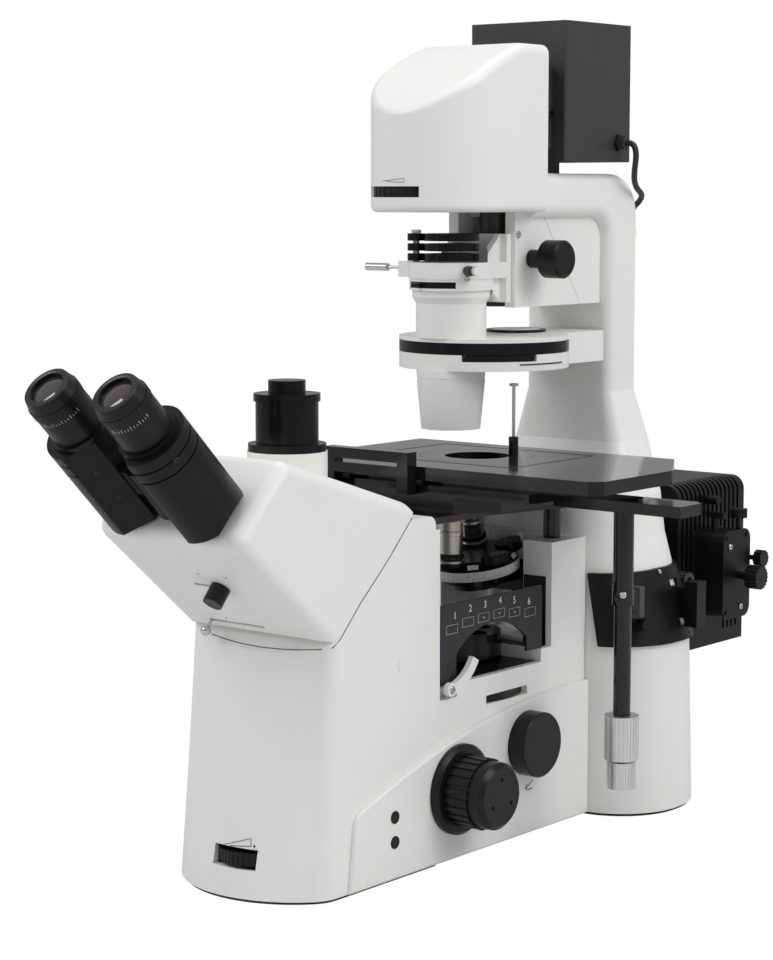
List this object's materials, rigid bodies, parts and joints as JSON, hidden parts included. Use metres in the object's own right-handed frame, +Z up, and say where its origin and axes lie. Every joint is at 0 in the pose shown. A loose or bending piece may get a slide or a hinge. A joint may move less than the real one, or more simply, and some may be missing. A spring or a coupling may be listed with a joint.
{
  "type": "inverted microscope",
  "caption": "Inverted bench microscope with a binocular head, mechanical stage, swing-out condenser filters, a transmitted-light pillar and a reflected-light lamp house.",
  "frame": {"origin": "on the optical axis of the condenser, at table level", "axes": "+X to the user's right, +Y away from the user, +Z up"},
  "size_m": [0.39, 0.8791, 0.742],
  "materials": {
    "black_anodised": "satin",
    "black_paint": "matte",
    "black_plastic": "matte",
    "grey_plate": "satin",
    "knurled_silver": "satin",
    "rubber": "matte",
    "steel": "brushed",
    "white": "satin"
  },
  "bodies": {
    "frame": {"base_plate": "black_paint", "main_frame": "white", "head_housing": "white", "photo_port": "black_paint", "rear_column": "white", "filter_collar": "black_paint", "epi_lamp_house": "black_paint", "collector_socket": "black_paint", "stage_base": "black_anodised", "number_plate": "black_paint", "condenser_block": "white", "transmitted_head": "white", "transmitted_lamp": "black_paint", "lamp_cable": "rubber"},
    "right_tube": {"tube_right": "black_paint", "eyepiece_right": "black_plastic"},
    "left_tube": {"tube_left": "black_paint", "eyepiece_left": "black_plastic"},
    "right_dioptre": {"dioptre_right": "black_plastic"},
    "left_dioptre": {"dioptre_left": "black_plastic"},
    "focus_carrier": {"nosepiece_carrier": "black_paint"},
    "turning_nosepiece": {"nosepiece": "black_anodised", "objective_long": "steel", "objective_short": "steel"},
    "coarse_knobs": {"coarse_knobs": "black_plastic"},
    "fine_knobs": {"fine_knobs": "black_plastic"},
    "tension_ring": {"tension_ring": "black_plastic"},
    "selector_knob": {"selector_knob": "black_plastic"},
    "button_low": {"button_low": "black_plastic"},
    "button_high": {"button_high": "black_plastic"},
    "brightness_dial": {"brightness_dial": "black_plastic"},
    "changer_wheel": {"changer_wheel": "black_plastic"},
    "slide_knob": {"slide_knob": "black_plastic"},
    "ball_pin": {"ball_pin": "steel"},
    "filter_turret": {"filter_turret": "black_anodised"},
    "window_lever": {"window_lever": "white"},
    "slider_front": {"slider_front": "grey_plate"},
    "slider_rear": {"slider_rear": "black_plastic"},
    "iris_knob": {"iris_knob": "black_plastic"},
    "clamp_knob": {"clamp_knob": "black_plastic"},
    "collector_knob": {"collector_knob": "black_plastic"},
    "socket_thumb_top": {"socket_thumb_top": "black_plastic"},
    "socket_thumb_side": {"socket_thumb_side": "black_plastic"},
    "socket_lever": {"socket_lever": "black_plastic"},
    "y_knob": {"y_knob": "knurled_silver"},
    "x_knob": {"x_knob": "knurled_silver"},
    "phase_wheel": {"phase_wheel": "black_anodised"},
    "holder_low": {"holder_low": "black_anodised"},
    "holder_mid": {"holder_mid": "black_anodised"},
    "holder_top": {"holder_top": "black_anodised"},
    "condenser_knob": {"condenser_knob": "black_plastic"},
    "head_dial": {"head_dial": "black_plastic"},
    "centre_lever": {"centre_lever": "steel"},
    "aperture_ring": {"aperture_ring": "black_anodised"},
    "stage_y_body": {"stage_y_plate": "black_anodised"},
    "stage_x_body": {"stage_top": "black_anodised", "stage_insert": "black_anodised"},
    "condenser": {"condenser_carrier": "white", "condenser_barrel": "white", "condenser_lens": "white"}
  },
  "joints": [
    {"name": "tube_fold", "type": "hinge", "parent": "frame", "child": "right_tube", "pos_m": [0, -0.3582, 0.33192], "axis": [0, 0.7071, -0.7071], "range_deg": [0, 48]},
    {"name": "tube_fold_left", "type": "hinge", "parent": "frame", "child": "left_tube", "pos_m": [0, -0.3582, 0.33192], "axis": [0, -0.7071, 0.7071], "range_deg": [0, 48]},
    {"name": "nosepiece_focus", "type": "slide", "parent": "frame", "child": "focus_carrier", "axis": [0, 0, 1], "range_m": [-0.002, 0.007]},
    {"name": "nosepiece_turn", "type": "hinge", "parent": "focus_carrier", "child": "turning_nosepiece", "pos_m": [0, 0.03447, 0.25408], "axis": [0, -0.1736, 0.9848], "continuous": true},
    {"name": "stage_y", "type": "slide", "parent": "frame", "child": "stage_y_body", "axis": [0, 1, 0], "range_m": [-0.014, 0.03]},
    {"name": "stage_x", "type": "slide", "parent": "stage_y_body", "child": "stage_x_body", "axis": [1, 0, 0], "range_m": [-0.065, 0.035]},
    {"name": "condenser_focus", "type": "slide", "parent": "frame", "child": "condenser", "axis": [0, 0, 1], "range_m": [-0.009, 0.012]},
    {"name": "phase_wheel_turn", "type": "hinge", "parent": "condenser", "child": "phase_wheel", "pos_m": [0, 0.05, 0.446], "axis": [0, 0, 1], "continuous": true},
    {"name": "filter_turret_turn", "type": "hinge", "parent": "frame", "child": "filter_turret", "pos_m": [0, -0.002, 0.175], "axis": [0, 0, 1], "continuous": true},
    {"name": "holder_low_swing", "type": "hinge", "parent": "condenser", "child": "holder_low", "pos_m": [-0.031, -0.012, 0.53], "axis": [0, 0, 1], "range_deg": [-100, 0]},
    {"name": "holder_mid_swing", "type": "hinge", "parent": "condenser", "child": "holder_mid", "pos_m": [-0.031, -0.012, 0.53], "axis": [0, 0, 1], "range_deg": [-100, 0]},
    {"name": "holder_top_swing", "type": "hinge", "parent": "condenser", "child": "holder_top", "pos_m": [-0.031, -0.012, 0.53], "axis": [0, 0, 1], "range_deg": [-100, 0]},
    {"name": "coarse_turn", "type": "hinge", "parent": "frame", "child": "coarse_knobs", "pos_m": [0, -0.099, 0.068], "axis": [1, 0, 0], "range_deg": [-30, 80]},
    {"name": "fine_turn", "type": "hinge", "parent": "frame", "child": "fine_knobs", "pos_m": [0, -0.099, 0.068], "axis": [1, 0, 0], "continuous": true},
    {"name": "y_knob_turn", "type": "hinge", "parent": "stage_y_body", "child": "y_knob", "pos_m": [0.18, 0.015, 0.108], "axis": [0, 0, 1], "range_deg": [-180, 360]},
    {"name": "x_knob_turn", "type": "hinge", "parent": "stage_y_body", "child": "x_knob", "pos_m": [0.18, 0.015, 0.074], "axis": [0, 0, 1], "range_deg": [-380, 210]},
    {"name": "condenser_knob_turn", "type": "hinge", "parent": "frame", "child": "condenser_knob", "pos_m": [0.05, 0.071, 0.525], "axis": [1, 0, 0], "range_deg": [-55, 72]},
    {"name": "selector_turn", "type": "hinge", "parent": "frame", "child": "selector_knob", "pos_m": [0.09, 0.003, 0.091], "axis": [1, 0, 0], "range_deg": [-90, 90]},
    {"name": "slide_knob_run", "type": "slide", "parent": "frame", "child": "slide_knob", "axis": [1, 0, 0], "range_m": [-0.026, 0.005]},
    {"name": "ball_pin_run", "type": "slide", "parent": "frame", "child": "ball_pin", "axis": [1, 0, 0], "range_m": [0, 0.056]},
    {"name": "slider_front_pull", "type": "slide", "parent": "frame", "child": "slider_front", "axis": [1, 0, 0], "range_m": [0, 0.025]},
    {"name": "slider_rear_pull", "type": "slide", "parent": "frame", "child": "slider_rear", "axis": [1, 0, 0], "range_m": [0, 0.025]},
    {"name": "window_lever_swing", "type": "hinge", "parent": "frame", "child": "window_lever", "pos_m": [0.08, -0.107, 0.157], "axis": [1, 0, 0], "range_deg": [0, 60]},
    {"name": "head_dial_turn", "type": "hinge", "parent": "frame", "child": "head_dial", "pos_m": [-0.00298, -0.03111, 0.586], "axis": [0, 0, 1], "range_deg": [-140, 140]},
    {"name": "brightness_turn", "type": "hinge", "parent": "frame", "child": "brightness_dial", "pos_m": [0.01, -0.27938, 0.038], "axis": [0, 0, 1], "range_deg": [-140, 140]},
    {"name": "changer_turn", "type": "hinge", "parent": "frame", "child": "changer_wheel", "pos_m": [0.008, -0.02, 0.138], "axis": [0, 0, 1], "range_deg": [-45, 45]},
    {"name": "aperture_turn", "type": "hinge", "parent": "condenser", "child": "aperture_ring", "pos_m": [0, 0, 0.503], "axis": [0, 0, 1], "range_deg": [-36, 36]},
    {"name": "button_low_press", "type": "slide", "parent": "frame", "child": "button_low", "axis": [-1, 0, 0], "range_m": [0, 0.002], "stiffness_N_per_m": 300},
    {"name": "button_high_press", "type": "slide", "parent": "frame", "child": "button_high", "axis": [-1, 0, 0], "range_m": [0, 0.002], "stiffness_N_per_m": 300},
    {"name": "tension_turn", "type": "hinge", "parent": "frame", "child": "tension_ring", "pos_m": [0.09, -0.099, 0.068], "axis": [1, 0, 0], "range_deg": [-60, 60]},
    {"name": "dioptre_right_turn", "type": "hinge", "parent": "right_tube", "child": "right_dioptre", "pos_m": [0.0375, -0.4572, 0.43091], "axis": [0, -0.7071, 0.7071], "range_deg": [-120, 120]},
    {"name": "dioptre_left_turn", "type": "hinge", "parent": "left_tube", "child": "left_dioptre", "pos_m": [-0.0375, -0.4572, 0.43091], "axis": [0, -0.7071, 0.7071], "range_deg": [-120, 120]},
    {"name": "iris_knob_turn", "type": "hinge", "parent": "frame", "child": "iris_knob", "pos_m": [0.121, 0.132, 0.187], "axis": [0.8572, -0.515, 0], "range_deg": [-120, 120]},
    {"name": "clamp_knob_turn", "type": "hinge", "parent": "frame", "child": "clamp_knob", "pos_m": [0.08, 0.258, 0.207], "axis": [1, 0, 0], "range_deg": [0, 180]},
    {"name": "collector_turn", "type": "hinge", "parent": "frame", "child": "collector_knob", "pos_m": [0.11, 0.341, 0.204], "axis": [1, 0, 0], "range_deg": [-120, 120]},
    {"name": "thumb_top_turn", "type": "hinge", "parent": "frame", "child": "socket_thumb_top", "pos_m": [0.096, 0.35, 0.255], "axis": [0, 0, 1], "range_deg": [0, 180]},
    {"name": "thumb_side_turn", "type": "hinge", "parent": "frame", "child": "socket_thumb_side", "pos_m": [0.09, 0.373, 0.218], "axis": [1, 0, 0], "range_deg": [0, 180]},
    {"name": "socket_lever_swing", "type": "hinge", "parent": "frame", "child": "socket_lever", "pos_m": [0.084, 0.326, 0.258], "axis": [0, 0, 1], "range_deg": [0, 40]},
    {"name": "centre_lever_turn", "type": "hinge", "parent": "condenser", "child": "centre_lever", "pos_m": [-0.07, 0, 0.517], "axis": [1, 0, 0], "range_deg": [-90, 90]}
  ],
  "couplings": [
    {"joint": "tube_fold_left", "follows": "tube_fold", "ratio": 1},
    {"joint": "coarse_turn", "follows": "nosepiece_focus", "rad_per_m": 166},
    {"joint": "y_knob_turn", "follows": "stage_y", "rad_per_m": 200},
    {"joint": "x_knob_turn", "follows": "stage_x", "rad_per_m": 100},
    {"joint": "condenser_knob_turn", "follows": "condenser_focus", "rad_per_m": 100}
  ]
}
